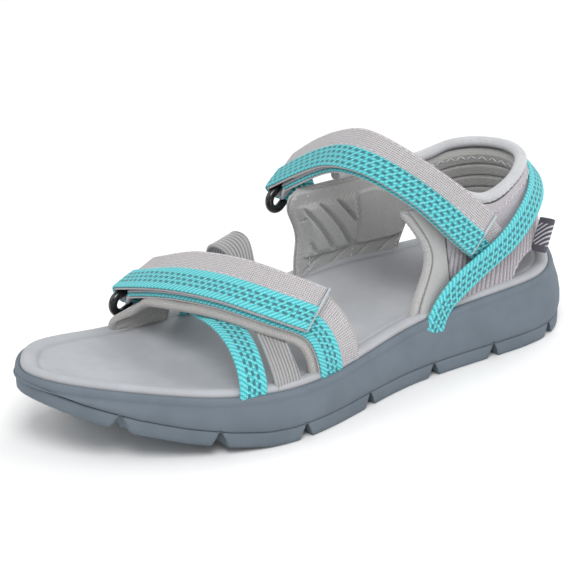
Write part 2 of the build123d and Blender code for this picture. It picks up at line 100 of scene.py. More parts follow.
ELASTIC_R = pts([(-40, -46.4, 14), (-40, -47, 20.5), (-40.4, -41.5, 31), (-39.2, -32.5, 38.4),
                 (-35.5, -20, 46), (-31, -7.5, 50.5), (-27, 3.5, 60), (-24.5, 14.5, 59.6),
                 (-20.5, 25.5, 52), (-14.5, 31.5, 42), (-7, 33, 31.5), (-3, 31.8, 22), (-2.5, 31.4, 16)])
SIDE_U = pts([(27.5, -35.2, 17), (32, -35.6, 28), (44, -34.8, 39), (58, -34.5, 45.8), (71.5, -32.9, 51.8),
              (83.5, -29.6, 59), (94, -23.4, 64.8), (103, -12.9, 69.2), (107.4, 0, 71), (103, 12.9, 69.2),
              (94, 23.4, 65), (83.5, 29.4, 60), (71.5, 31.6, 53.5), (58, 32.3, 46.5), (44, 32.3, 39.5),
              (32, 31.6, 28.5), (27.5, 30.6, 18)])
SIDE_L = pts([(38.5, -35.1, 17), (41, -35.6, 24.5), (50, -35.4, 31.2), (61.7, -35.2, 37.4),
              (76.3, -34, 43.6), (88.8, -31, 50.5), (99.8, -25.2, 56.5), (109.8, -14.2, 61),
              (115.2, 0, 62.8), (109.8, 14.2, 61), (99.8, 25, 56.5), (88.8, 30.6, 51), (76.3, 32.6, 44.5),
              (61.7, 33, 38), (50, 32.6, 31.5), (41, 31.6, 25), (38.5, 30.6, 18)])
BAND_U = pts([(46, -25, 66), (58, -25, 65), (69, -25.2, 61.5), (80.5, -25, 64), (91.5, -21, 68),
              (101.5, -12.5, 71), (105.6, 0, 71.8), (101.5, 12.5, 71.6), (91.5, 21, 70.3),
              (82, 24.4, 68.4), (74.5, 25.6, 66.8)])
BAND_L = pts([(46, -33.2, 18), (60, -32.8, 18), (71.5, -32, 19), (82.5, -29.9, 34), (97, -25.4, 37.5),
              (110, -15.4, 35), (117.3, 0, 33.5), (110.5, 15.4, 37), (98, 24.6, 43), (86, 28, 44.5),
              (76, 28.4, 41)])
BINDING_TAIL = pts([(60, 25.2, 67.6), (44, 24, 68.2), (28, 22.6, 68.4)])
OUT_Q_TOE = pts([(23.5, -32.2, 16), (25.5, -31.6, 26), (32, -29.4, 36), (37.5, -27, 46), (35, -25, 55),
                 (27, -22.6, 66)])
OUT_Q_HEEL = pts([(45.5, -32, 16), (45.5, -30.8, 26), (45.5, -28.8, 36), (45.6, -26.8, 46),
                  (45.6, -25, 56), (45.6, -23.4, 67)])
IN_Q_TOE = pts([(14, 27.2, 17), (13.5, 27.8, 28), (13.4, 27.6, 38), (13.2, 26.6, 46), (9.7, 25, 54),
                (6.2, 22.8, 62), (7.2, 21.4, 67)])
IN_Q_HEEL = pts([(65, 27.2, 17), (65.5, 27.8, 28), (69.5, 27.8, 38), (72.5, 27.4, 46), (73.8, 26.8, 54),
                 (73.8, 25.8, 62), (73.4, 25.2, 66)])
OUTLINE = pts([(-126.7, 4), (-121, -12), (-108, -25), (-90, -36.5), (-70, -45), (-50, -49.5), (-30, -48.5),
               (-5, -42.5), (20, -36.8), (45, -35), (70, -35), (92, -33.5), (108, -27.5), (121, -14),
               (126.7, 0), (121, 14), (109, 26), (94, 31.8), (72, 32.4), (48, 31.5), (24, 32), (0, 36),
               (-25, 41.3), (-48, 43), (-72, 40.5), (-94, 36.5), (-110, 30), (-121, 18)])
RIM = pts([(-130, 31), (-110, 28.2), (-93, 25.4), (-76, 22.6), (-58, 21), (-30, 20.4), (0, 21.8),
           (30, 24.6), (60, 26.4), (90, 27.6), (108, 28.4), (120, 29.2), (130, 30)])
GROUND = pts([(-130, 24.5), (-115, 17), (-100, 11.2), (-85, 6.6), (-70, 3), (-56, 0.7), (-45, 0),
              (0, 0), (60, 0), (100, 0), (115, 1), (130, 3.4)])
GROOVES = (-105, -74, -40, -4, 34, 66, 100)


# ------------------------------------------------------------------ curves
def cubic(knots, values, at):
    """Natural cubic spline through values at knots, read at the places at."""
    n = len(knots)
    values = np.asarray(values, float).reshape(n, -1)
    if n == 2:
        share = ((at - knots[0]) / (knots[1] - knots[0]))[:, None]
        return values[0] + (values[1] - values[0]) * share
    h = np.diff(knots)
    a = np.zeros((n, n))
    b = np.zeros_like(values)
    a[0, 0] = a[-1, -1] = 1
    for i in range(1, n - 1):
        a[i, i - 1], a[i, i], a[i, i + 1] = h[i - 1], 2 * (h[i - 1] + h[i]), h[i]
        b[i] = 6 * ((values[i + 1] - values[i]) / h[i] - (values[i] - values[i - 1]) / h[i - 1])
    m = np.linalg.solve(a, b)
    i = np.clip(np.searchsorted(knots, at, side="right") - 1, 0, n - 2)
    t = (at - knots[i])[:, None]
    hi = h[i][:, None]
    slope = (values[i + 1] - values[i]) / hi - hi * (2 * m[i] + m[i + 1]) / 6
    return values[i] + t * (slope + t * (m[i] / 2 + t * (m[i + 1] - m[i]) / (6 * hi)))


def height(curve, x):
    return cubic(curve[:, 0], curve[:, 1], np.asarray(x, float).ravel()).reshape(np.shape(x))


def smooth_rails(front, rear, step=1.0):
    """Both rails resampled on smooth curves, with the run along their middle at each sample."""
    middle = (front + rear) / 2
    knots = np.concatenate([[0], np.cumsum(np.linalg.norm(np.diff(middle, axis=0), axis=1))])
    at = np.linspace(0, knots[-1], max(4, int(knots[-1] / step)))
    f, r = cubic(knots, front, at), cubic(knots, rear, at)
    return f, r, at


def frames(f, r):
    wide = r - f
    width = np.linalg.norm(wide, axis=1, keepdims=True)
    wide = wide / width
    ahead = np.gradient((f + r) / 2, axis=0)
    outward = np.cross(wide, ahead)
    outward /= np.linalg.norm(outward, axis=1, keepdims=True)
    return wide, outward, np.cross(outward, wide), width


def inset(front, rear, depth):
    outward = frames(front, rear)[1]
    return front - outward * depth, rear - outward * depth


# ------------------------------------------------------------------ meshes
def mesh_object(name, verts, faces, uvs=None, smooth=True, material=None):
    """verts in millimetres. uvs are one (u, v) per vertex, in millimetres."""
    mesh = bpy.data.meshes.new(name)
    mesh.from_pydata((np.asarray(verts) * 0.001).tolist(), [], [list(map(int, q)) for q in faces])
    if uvs is not None:
        layer = mesh.uv_layers.new(name="uv")
        index = np.zeros(len(mesh.loops), int)
        mesh.loops.foreach_get("vertex_index", index)
        layer.data.foreach_set("uv", np.asarray(uvs, np.float32)[index].ravel())
    for polygon in mesh.polygons:
        polygon.use_smooth = smooth
    mesh.validate()
    obj = bpy.data.objects.new(name, mesh)
    bpy.context.scene.collection.objects.link(obj)
    if material:
        mesh.materials.append(material)
    return obj


def tube_grid(rings, closed_along=False):
    """Faces of rings of equal size, joined along, with fan caps at both ends."""
    n, m = len(rings), len(rings[0])
    verts = np.concatenate(rings)
    faces = []
    for i in range(n if closed_along else n - 1):
        a, b = i * m, ((i + 1) % n) * m
        for j in range(m):
            k = (j + 1) % m
            faces.append((a + j, a + k, b + k, b + j))
    if not closed_along:
        base = len(verts)
        verts = np.concatenate([verts, [rings[0].mean(0)], [rings[-1].mean(0)]])
        for j in range(m):
            k = (j + 1) % m
            faces.append((base, k, j))
            faces.append((base + 1, (n - 1) * m + j, (n - 1) * m + k))
    return verts, faces


def section(width, thick, across, roundness=1.0, crown=0.0, crown_under=0.0):
    """Closed section of a strap: (across in mm, depth in mm, side), side 1 on top and -1 under."""
    radius = min(thick / 2 * roundness, width / 2)
    top = np.linspace(radius, width - radius, across)
    arc = np.linspace(math.pi / 2, -math.pi / 2, 7)[1:-1]
    rows = [(v, -crown * (1 - ((2 * v - width) / width) ** 2), 1) for v in top]
    half = thick / 2
    rows += [(width - radius + radius * math.cos(t), half - half * math.sin(t), 0) for t in arc]
    rows += [(v, thick + crown_under * (1 - ((2 * v - width) / width) ** 2), -1) for v in top[::-1]]
    rows += [(radius - radius * math.cos(t), half + half * math.sin(t), 0) for t in arc]
    return np.array(rows)


def strip(name, front, rear, top, bottom, start=0.0, end=1.0, step=1.0, across=12, crown=0.0,
          crown_under=0.0, relief=None, material=None, smoothing=True, roundness=1.0):
    """A strap layer between two rails, from depth top to depth bottom under them, rounded at its edges."""
    if smoothing:
        f, r, at = smooth_rails(front, rear, step)
    else:
        f, r = front, rear
        at = np.concatenate([[0], np.cumsum(np.linalg.norm(np.diff((f + r) / 2, axis=0), axis=1))])
    wide, outward, forward, width = frames(f, r)
    rings, uvs = [], []
    for i in range(len(f)):
        w = float(width[i, 0])
        rows = section(w * (end - start), bottom - top, across, roundness, crown, crown_under)
        v = rows[:, 0] + w * start
        depth = rows[:, 1] + top
        if relief is not None:
            depth = depth - relief(np.full(len(v), at[i]), v, v / w, at[i] / at[-1]) * (rows[:, 2] > 0)
            depth = depth + relief(np.full(len(v), at[i]), v, v / w, at[i] / at[-1]) * (rows[:, 2] < 0)
        rings.append(f[i] + wide[i] * v[:, None] - outward[i] * depth[:, None])
        uvs.append(np.stack([np.full(len(v), at[i]), v], 1))
    verts, faces = tube_grid(rings)
    uv = np.concatenate(uvs + [[uvs[0].mean(0)], [uvs[-1].mean(0)]])
    return mesh_object(name, verts, faces, uv, material=material)


def stitches(name, line, normals, length=2.2, gap=0.9, radius=0.22, lift=0.1, material=None, zigzag=0.0,
             sideways=None):
    """A row of separate stitches along a line that lies on a surface. zigzag swings them from side to side."""
    run = np.concatenate([[0], np.cumsum(np.linalg.norm(np.diff(line, axis=0), axis=1))])
    verts, faces = [], []
    count = max(1, int(run[-1] / (length + gap)))

    def at(s):
        p = np.array([np.interp(s, run, line[:, k]) for k in range(3)])
        n = np.array([np.interp(s, run, normals[:, k]) for k in range(3)])
        w = np.array([np.interp(s, run, sideways[:, k]) for k in range(3)]) if sideways is not None else 0
        return p, n / np.linalg.norm(n), w

    for i in range(count):
        s0 = (i + 0.5) * run[-1] / count - length / 2
        swing = zigzag * (1 if i % 2 else -1)
        ends = [at(s0), at(s0 + length / 2), at(s0 + length)]
        centre = [ends[0][0] - ends[0][2] * swing, ends[1][0], ends[2][0] + ends[2][2] * swing]
        direction = centre[2] - centre[0]
        direction /= np.linalg.norm(direction)
        sizes = (0.35, 1.0, 0.35)
        base = len(verts)
        for k in range(3):
            n = ends[k][1]
            b = np.cross(n, direction)
            for j in range(6):
                angle = j * math.pi / 3
                verts.append(centre[k] + n * (lift * sizes[k] + radius * sizes[k] * math.sin(angle))
                             + b * radius * sizes[k] * math.cos(angle))
        for k in range(2):
            for j in range(6):
                a, c = base + k * 6 + j, base + k * 6 + (j + 1) % 6
                faces.append((a, a + 6, c + 6, c))
        faces.append(tuple(base + j for j in range(6)))
        faces.append(tuple(base + 12 + 5 - j for j in range(6)))
    return mesh_object(name, np.array(verts), faces, material=material)


# ------------------------------------------------------------------ materials
def linear(code):
    rgb = [int(code[i:i + 2], 16) / 255 for i in (0, 2, 4)]
    return tuple(c / 12.92 if c <= 0.04045 else ((c + 0.055) / 1.055) ** 2.4 for c in rgb) + (1.0,)


class Nodes:
    """A material's node tree, with short names for the nodes that these finishes need."""

    def __init__(self, name, colour, rough, **sockets):
        self.material = bpy.data.materials.new(name)
        self.material.use_nodes = True
        self.tree = self.material.node_tree
        self.shader = self.tree.nodes["Principled BSDF"]
        self.shader.inputs["Base Color"].default_value = linear(colour)
        self.shader.inputs["Roughness"].default_value = rough
        for key, value in sockets.items():
            self.shader.inputs[key.replace("_", " ")].default_value = value
        self.material.diffuse_color = linear(colour)

    def link(self, value, socket):
        if isinstance(value, (int, float)):
            socket.default_value = value
        elif isinstance(value, tuple):
            socket.default_value = value
        else:
            self.tree.links.new(value, socket)

    def calc(self, operation, a, b=0.0, c=0.0):
        node = self.tree.nodes.new("ShaderNodeMath")
        node.operation = operation
        for i, value in enumerate((a, b, c)):
            self.link(value, node.inputs[i])
        return node.outputs[0]

    def mix(self, share, a, b):
        node = self.tree.nodes.new("ShaderNodeMix")
        node.data_type = "RGBA"
        self.link(share, node.inputs[0])
        self.link(a, node.inputs[6])
        self.link(b, node.inputs[7])
        return node.outputs[2]

    def uv(self):
        node = self.tree.nodes.new("ShaderNodeUVMap")
        node.uv_map = "uv"
        split = self.tree.nodes.new("ShaderNodeSeparateXYZ")
        self.tree.links.new(node.outputs[0], split.inputs[0])
        return split.outputs[0], split.outputs[1]

    def noise(self, scale, detail=3.0, rough=0.6):
        place = self.tree.nodes.new("ShaderNodeTexCoord")
        node = self.tree.nodes.new("ShaderNodeTexNoise")
        node.inputs["Scale"].default_value = scale
        node.inputs["Detail"].default_value = detail
        node.inputs["Roughness"].default_value = rough
        self.tree.links.new(place.outputs["Object"], node.inputs["Vector"])
        return node.outputs[0]

    def wave(self, value, period):
        """A sine of that period, from 0 to 1."""
        turn = self.calc("MULTIPLY", value, 2 * math.pi / period)
        return self.calc("MULTIPLY_ADD", self.calc("SINE", turn), 0.5, 0.5)

    def step(self, value, low, high):
        node = self.tree.nodes.new("ShaderNodeMapRange")
        node.interpolation_type = "SMOOTHSTEP"
        self.link(value, node.inputs[0])
        node.inputs[1].default_value, node.inputs[2].default_value = low, high
        return node.outputs[0]

    def bump(self, value, distance, strength=1.0):
        node = self.tree.nodes.new("ShaderNodeBump")
        node.inputs["Strength"].default_value = strength
        node.inputs["Distance"].default_value = distance
        self.link(value, node.inputs["Height"])
        self.tree.links.new(node.outputs[0], self.shader.inputs["Normal"])

    def colour(self, value):
        self.tree.links.new(value, self.shader.inputs["Base Color"])


def foam(name, colour, dark, rough=0.75, grain=1600):
    m = Nodes(name, colour, rough, Specular_IOR_Level=0.35)
    fine, broad = m.noise(grain), m.noise(60, 2)
    m.colour(m.mix(m.calc("MULTIPLY_ADD", m.step(broad, 0.3, 0.7), 0.5, m.calc("MULTIPLY", fine, 0.3)),
                   linear(dark), linear(colour)))
    m.bump(fine, 0.00012, 0.6)
    return m.material


def woven(name, light, dark, pitch_u=1.1, pitch_v=0.9, rough=0.85, share=0.5, depth=0.00022, twill=False):
    """Woven cloth: yarns across and along, in a plain or a twill weave."""
    m = Nodes(name, light, rough, Sheen_Weight=0.25, Sheen_Roughness=0.5, Specular_IOR_Level=0.2)
    u, v = m.uv()
    if twill:
        a = m.wave(m.calc("ADD", u, v), pitch_u)
        b = m.wave(m.calc("SUBTRACT", u, v), pitch_v)
    else:
        a, b = m.wave(u, pitch_u), m.wave(v, pitch_v)
    weave = m.calc("MULTIPLY", a, b)
    cell = m.calc("ADD", weave, m.calc("MULTIPLY", m.calc("SUBTRACT", 1.0, a), m.calc("SUBTRACT", 1.0, b)))
    mottle = m.noise(900)
    tone = m.calc("MULTIPLY_ADD", mottle, 0.35, m.calc("MULTIPLY", cell, share))
    m.colour(m.mix(m.step(tone, 0.0, 0.75), linear(dark), linear(light)))
    m.bump(m.calc("MULTIPLY_ADD", mottle, 0.35, cell), depth)
    return m.material


def dashed(name, width, count=3, light="7fdfe2", dark="35707b", pitch=3.1, rows=2.2):
    """Teal webbing with staggered rows of dark dashes between plain twill edges."""
    m = Nodes(name, light, 0.7, Sheen_Weight=0.15, Sheen_Roughness=0.45, Specular_IOR_Level=0.25)
    zone_start, zone_end = (width - count * rows) / 2, (width + count * rows) / 2
    u, v = m.uv()
    place = m.calc("DIVIDE", m.calc("SUBTRACT", v, zone_start), rows)
    row = m.calc("FLOOR", place)
    across = m.calc("ABSOLUTE", m.calc("SUBTRACT", m.calc("SUBTRACT", place, row), 0.5))
    shifted = m.calc("ADD", m.calc("DIVIDE", u, pitch), m.calc("MULTIPLY", row, 0.5))
    along = m.calc("ABSOLUTE", m.calc("SUBTRACT", m.calc("FRACT", shifted), 0.5))
    inside = m.calc("MULTIPLY", m.calc("GREATER_THAN", v, zone_start), m.calc("LESS_THAN", v, zone_end))
    dash = m.calc("MULTIPLY", m.calc("SUBTRACT", 1.0, m.step(across, 0.19, 0.32)),
                  m.calc("SUBTRACT", 1.0, m.step(along, 0.24, 0.36)))
    dash = m.calc("MULTIPLY", dash, inside)
    twill = m.wave(m.calc("MULTIPLY_ADD", v, 0.9, u), 1.9)
    yarn = m.calc("MULTIPLY", m.wave(u, 0.9), m.wave(v, 0.75))
    plain = m.mix(m.calc("MULTIPLY_ADD", twill, 0.7, m.calc("MULTIPLY", yarn, 0.4)),
                  linear("2fa3ae"), linear(light))
    m.colour(m.mix(m.calc("MULTIPLY", dash, 0.9), plain, linear(dark)))
    bulge = m.calc("MULTIPLY", m.calc("SUBTRACT", 1.0, dash), 0.9)
    m.bump(m.calc("ADD", bulge, m.calc("MULTIPLY_ADD", twill, 0.6, m.calc("MULTIPLY", yarn, 0.35))), 0.00045)
    return m.material


def knit(name, light, dark, pitch=0.9, depth=0.00015, mottle=0.5, rough=0.9):
    """Fine padded knit."""
    m = Nodes(name, light, rough, Sheen_Weight=0.35, Sheen_Roughness=0.5, Specular_IOR_Level=0.15)
    u, v = m.uv()
    loops = m.calc("MULTIPLY", m.wave(m.calc("MULTIPLY_ADD", v, 0.5, u), pitch), m.wave(v, pitch * 0.8))
    soft, broad = m.noise(1300), m.noise(120, 2)
    tone = m.calc("ADD", m.calc("MULTIPLY", loops, 0.35), m.calc("MULTIPLY", soft, mottle))
    tone = m.calc("ADD", tone, m.calc("MULTIPLY", broad, 0.2))
    m.colour(m.mix(m.step(tone, 0.15, 0.75), linear(dark), linear(light)))
    m.bump(m.calc("ADD", loops, soft), depth)
    return m.material


def ribbed(name, light, dark, pitch, along=False, slant=0.0, depth=0.0005, rough=0.85):
    """Ribbed or gathered cloth. Ribs run across the piece, or along it."""
    m = Nodes(name, light, rough, Sheen_Weight=0.3, Sheen_Roughness=0.5, Specular_IOR_Level=0.2)
    u, v = m.uv()
    rib = m.wave(v, pitch) if along else m.wave(m.calc("MULTIPLY_ADD", v, slant, u), pitch)
    fine = m.wave(u, 0.7) if along else m.wave(v, 0.8)
    soft = m.noise(1200)
    yarn = m.calc("MULTIPLY_ADD", fine, 0.15, m.calc("MULTIPLY", soft, 0.3))
    tone = m.calc("ADD", m.calc("MULTIPLY", rib, 0.6), yarn)
    m.colour(m.mix(m.step(tone, 0.1, 0.85), linear(dark), linear(light)))
    m.bump(m.calc("ADD", rib, m.calc("MULTIPLY_ADD", fine, 0.25, m.calc("MULTIPLY", soft, 0.2))), depth)
    return m.material


def heel_cloth():
    """Fine knit, gathered into upright ribs along the lower half of the heel band's outer side, with painted shade
    darkening the grooves between the ribs.
    """
    m = Nodes("heel_fabric", "cfcacf", 0.9, Sheen_Weight=0.35, Sheen_Roughness=0.5, Specular_IOR_Level=0.15)
    u, v = m.uv()
    groove = m.calc("SUBTRACT", 1.0, m.wave(m.calc("MULTIPLY_ADD", v, 0.3, m.calc("SUBTRACT", u, 0.575)), 2.3))
    where = m.calc("MULTIPLY", m.step(v, 15.0, 21.0), m.calc("SUBTRACT", 1.0, m.step(u, 46.0, 58.0)))
    # painted shade: the grooves of the gathers are mixed towards 7d777d, where shade falls in the folds
    dark = m.calc("MULTIPLY", m.calc("MULTIPLY", groove, groove), where)
    loops = m.calc("MULTIPLY", m.wave(u, 0.9), m.wave(v, 0.7))
    soft = m.noise(1300)
    tone = m.step(m.calc("MULTIPLY_ADD", loops, 0.35, m.calc("MULTIPLY", soft, 0.5)), 0.15, 0.75)
    cloth = m.mix(tone, linear("a8a3a9"), linear("cfcacf"))
    m.colour(m.mix(m.calc("MULTIPLY", dark, 0.85), cloth, linear("7d777d")))
    m.bump(m.calc("ADD", loops, soft), 0.0002)
    return m.material


def label_cloth():
    """Dark woven tape with a generic light pattern of short slanted strokes along its middle."""
    m = Nodes("label_cloth", "5b5661", 0.8, Sheen_Weight=0.2, Specular_IOR_Level=0.2)
    u, v = m.uv()
    strokes = m.step(m.wave(m.calc("MULTIPLY_ADD", v, 1.0, m.calc("MULTIPLY", u, 0.9)), 2.1), 0.55, 0.8)
    middle = m.calc("SUBTRACT", 1.0, m.step(m.calc("ABSOLUTE", m.calc("SUBTRACT", v, 7.0)), 4.3, 4.8))
    clear = m.calc("MULTIPLY", strokes, middle)
    weave = m.calc("MULTIPLY", m.wave(u, 0.6), m.wave(v, 0.6))
    tape = m.mix(weave, linear("4b4650"), linear("67626d"))
    m.colour(m.mix(m.calc("MULTIPLY", clear, 0.85), tape, linear("c9c7cd")))
    m.bump(m.calc("ADD", clear, weave), 0.00015)
    return m.material


MIDSOLE = foam("midsole_foam", "6c7680", "5f6972")
OUTSOLE = foam("outsole_rubber", "69737c", "5b656e", 0.7, 1400)
FOOTBED = foam("footbed_foam", "aeb0b4", "a0a2a6", 0.8, 1800)
GREY_WEB = woven("grey_webbing", "cbc7c9", "6f6b70", 1.7, 1.7, share=0.8, depth=0.0005, twill=True)
UNDER_WEB = woven("under_webbing", "d5d3d8", "a5a2aa", 1.2, 1.0)
TAPE_HOOK = woven("hook_tape", "e0e0e2", "a7a8ac", 1.4, 1.4, depth=0.0004)
TAPE_LOOP = woven("loop_tape", "dcdde3", "a6a8b2", 0.8, 0.8, depth=0.0004)
LINING = knit("padded_lining", "b4b2b0", "92908e")
QUARTER_LINING = knit("quarter_lining", "babab9", "9c9c9b", 1.2)
BINDING = knit("binding_cloth", "c6c7c9", "adaeb1", 0.7, 0.0001)
SKIN_SMOOTH = knit("smooth_fabric", "b9b8b8", "a2a1a1", 0.8, 0.00008, 0.3)
HEEL = heel_cloth()
COLLAR_LINING = knit("collar_lining", "b6b6b4", "979795", 0.8)
ELASTIC = ribbed("elastic_ribs", "a6a5a6", "7a797b", 1.35, along=True, depth=0.0002)
EDGE = foam("sealed_edge", "b4bdc1", "a2abaf", 0.5, 2500)
LABEL = label_cloth()
THREAD = knit("thread", "e6e4e8", "c3c0c6", 0.5, 0.00005)
ring = Nodes("ring_plastic", "0b0c0f", 0.22, Coat_Weight=0.4, Coat_Roughness=0.1)
ring.bump(ring.noise(400), 0.00003)
RING = ring.material


# ------------------------------------------------------------------ sole
def outline(count=900):
    """Points round the sole, and the inward direction at each."""
    closed = np.concatenate([OUTLINE[-4:], OUTLINE, OUTLINE[:4]])
    knots = np.concatenate([[0], np.cumsum(np.linalg.norm(np.diff(closed, axis=0), axis=1))])
    at = np.linspace(knots[4], knots[4 + len(OUTLINE)], count, endpoint=False)
    place = cubic(knots, closed, at)
    ahead = cubic(knots, closed, at + 0.2) - cubic(knots, closed, at - 0.2)
    ahead /= np.linalg.norm(ahead, axis=1, keepdims=True)
    return place, np.stack([-ahead[:, 1], ahead[:, 0]], 1)


def ease(value, low, high):
    t = np.clip((value - low) / (high - low), 0, 1)
    return t * t * (3 - 2 * t)


def rim(x, y):
    """Top of the midsole, raised along the arch on the inner side."""
    return height(RIM, x) + 6.0 * np.exp(-((x - 30) / 34) ** 2) * ease(y, 6, 30)


def ground(x):
    return np.interp(x, GROUND[:, 0], GROUND[:, 1])


def notch(x, depth=7.0, half=3.2):
    """Height of the V-shaped flex grooves."""
    return sum(depth * np.clip(1 - np.abs(x - g) / half, 0, 1) for g in GROOVES)


def sole_body(name, levels, material, count=900):
    """A closed body of the sole. Each level is (inset, share of the way to the spine, height)."""
    place, inward = outline(count)
    rings = []
    for inset_by, share, level in levels:
        extra = inset_by(place[:, 0]) if callable(inset_by) else inset_by
        edge = place + inward * (np.ones(len(place)) * extra)[:, None]
        spine = np.stack([np.round(np.clip(edge[:, 0], -84, 90) / 1.5) * 1.5, np.full(len(edge), -1.5)], 1)
        spot = edge * (1 - share) + spine * share
        rings.append(np.column_stack([spot, level(spot[:, 0], spot[:, 1])]))
    verts = np.concatenate(rings)
    count = len(place)
    faces = []
    for i in range(len(rings) - 1):
        for j in range(count):
            k = (j + 1) % count
            faces.append((i * count + j, (i + 1) * count + j, (i + 1) * count + k, i * count + k))
    obj = mesh_object(name, verts, faces, material=material)
    bm = bmesh.new()
    bm.from_mesh(obj.data)
    bmesh.ops.remove_doubles(bm, verts=bm.verts, dist=1e-5)
    bmesh.ops.recalc_face_normals(bm, faces=bm.faces)
    bm.to_mesh(obj.data)
    bm.free()
    return obj


def tuck(share, inset_by):
    """An inset that grows round the heel, where the sole bulges under its rim."""
    return lambda x: inset_by + 3.6 * share * ease(x, 88, 118)


def wall(share):
    """A height part of the way up the side of the sole."""
    return lambda x, y: (ground(x) + 6.1) * (1 - share) + (rim(x, y) - 3.6) * share


def over_rim(lift):
    return lambda x, y: rim(x, y) + lift


def over_ground(lift):
    return lambda x, y: ground(x) + lift


def over_notch(lift):
    """A height above the ground, lifted over the flex grooves as far as the outsole is thick."""
    return lambda x, y: ground(x) + np.maximum(lift, np.minimum(notch(x), max(5.9, lift + 0.9)))


def dish(x, y):
    """The walked-on face: a shallow hollow, deeper in the heel cup, with a low mound at the arch."""
    hollow = -0.5 - 1.5 * np.exp(-((x - 92) / 30) ** 2) - 0.8 * np.exp(-((x + 55) / 35) ** 2)
    return rim(x, y * 0.55) + hollow


midsole = sole_body("midsole_body", [
    (16, 1.0, over_rim(-8)), (16, 0.0, over_rim(-8)), (3.4, 0, over_rim(-2.5)), (tuck(1, 2.6), 0, over_rim(-0.3)),
    (tuck(1, 2.2), 0, over_rim(0.15)), (tuck(1, 1.5), 0, over_rim(0.3)), (tuck(1, 0.8), 0, over_rim(0.1)),
    (tuck(0.96, 0.3), 0, over_rim(-0.5)), (tuck(0.9, 0.1), 0, over_rim(-1.4)),
    (tuck(0.82, 0.1), 0, over_rim(-2.3)), (tuck(0.78, 0.32), 0, over_rim(-2.8)),
    (tuck(0.74, 0.25), 0, over_rim(-3.3)), (tuck(0.55, 0.0), 0, wall(0.86)), (tuck(0.3, -0.35), 0, wall(0.65)),
    (tuck(0.12, -0.45), 0, wall(0.42)), (tuck(0.0, -0.2), 0, wall(0.2)), (tuck(0, 0.2), 0, wall(0.06)),
    (0.55, 0, over_notch(6.1)), (6, 0, over_notch(6.0)), (16, 1.0, over_ground(6.0)),
], MIDSOLE)
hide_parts("midsole")
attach(midsole, "shoe")

outsole = sole_body("outsole_body", [
    (16, 1.0, over_ground(5.9)), (6, 0, over_ground(5.9)), (1.0, 0, over_ground(5.9)), (0.55, 0, over_notch(5.4)),
    (0.35, 0, over_notch(4.6)), (0.35, 0, over_notch(2.2)), (0.45, 0, over_notch(0.7)), (1.0, 0, over_notch(0.1)),
    (2.2, 0, over_notch(0.0)), (3.2, 0.12, over_notch(0.0)), (3.2, 0.3, over_notch(0.0)),
    (3.2, 0.5, over_notch(0.0)), (3.2, 0.75, over_notch(0.0)), (3.2, 1.0, over_notch(0.0)),
], OUTSOLE, 1500)
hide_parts("outsole")
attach(outsole, "shoe")

footbed = sole_body("footbed_body", [
    (16, 1.0, over_rim(-4)), (tuck(1, 3.6), 0, over_rim(-3.0)), (tuck(1, 2.4), 0, over_rim(-0.3)),
    (tuck(1, 2.1), 0, over_rim(0.6)), (tuck(1, 2.3), 0, over_rim(1.5)), (tuck(1, 3.0), 0, over_rim(2.2)),
    (tuck(1, 4.2), 0, over_rim(2.5)), (tuck(0.9, 5.6), 0, over_rim(2.3)), (tuck(0.8, 7.0), 0, over_rim(1.7)),
    (tuck(0.7, 7.7), 0, over_rim(1.35)), (tuck(0.7, 8.0), 0, over_rim(0.75)), (tuck(0.7, 8.4), 0, over_rim(0.75)),
    (tuck(0.7, 8.7), 0, over_rim(1.25)), (tuck(0.6, 10.5), 0, over_rim(0.7)), (tuck(0.4, 13), 0, over_rim(0.2)),
    (16, 0, over_rim(-0.15)),
    (19.2, 0, lambda x, y: rim(x, y) * 0.7 + dish(x, y) * 0.3 - 0.05),
    (19.2, 0.2, lambda x, y: rim(x, y) * 0.3 + dish(x, y) * 0.7),
    (19.2, 0.45, dish), (19.2, 0.7, dish), (19.2, 1.0, dish),
], FOOTBED)
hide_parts("footbed")
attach(footbed, "shoe")


# ------------------------------------------------------------------ closures
def finishing(obj, node, body="shoe"):
    if node:
        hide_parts(*([node] if isinstance(node, str) else node))
    if body:
        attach(obj, body)
    return obj


def bar_frame(front, rear):
    wide, outward, forward, width = (a[-1] for a in frames(front, rear))
    return (front[-1] + rear[-1]) / 2 - outward * WRAP, wide, outward, forward, float(width[0])


def arc_rails(centre, wide, outward, forward, width, radius, first, last, count=24):
    turn = np.linspace(first, last, count)[:, None]
    spot = centre + (outward * np.cos(turn) + forward * np.sin(turn)) * radius
    return spot - wide * width / 2, spot + wide * width / 2


def edge_row(name, f, r, share, depth, material, body, zigzag=0.0, length=2.0, gap=1.0, radius=0.2, start=0,
             stop=None, inside=False):
    """A row of stitches on a strap or panel, on its outer face or on its inside."""
    wide, outward, forward, width = frames(f, r)
    line = f + (r - f) * share - outward * depth
    if inside:
        outward = -outward
    row = stitches(name, line[start:stop], outward[start:stop], length, gap, radius, 0.05, material, zigzag,
                   wide[start:stop])
    return finishing(row, None, body)


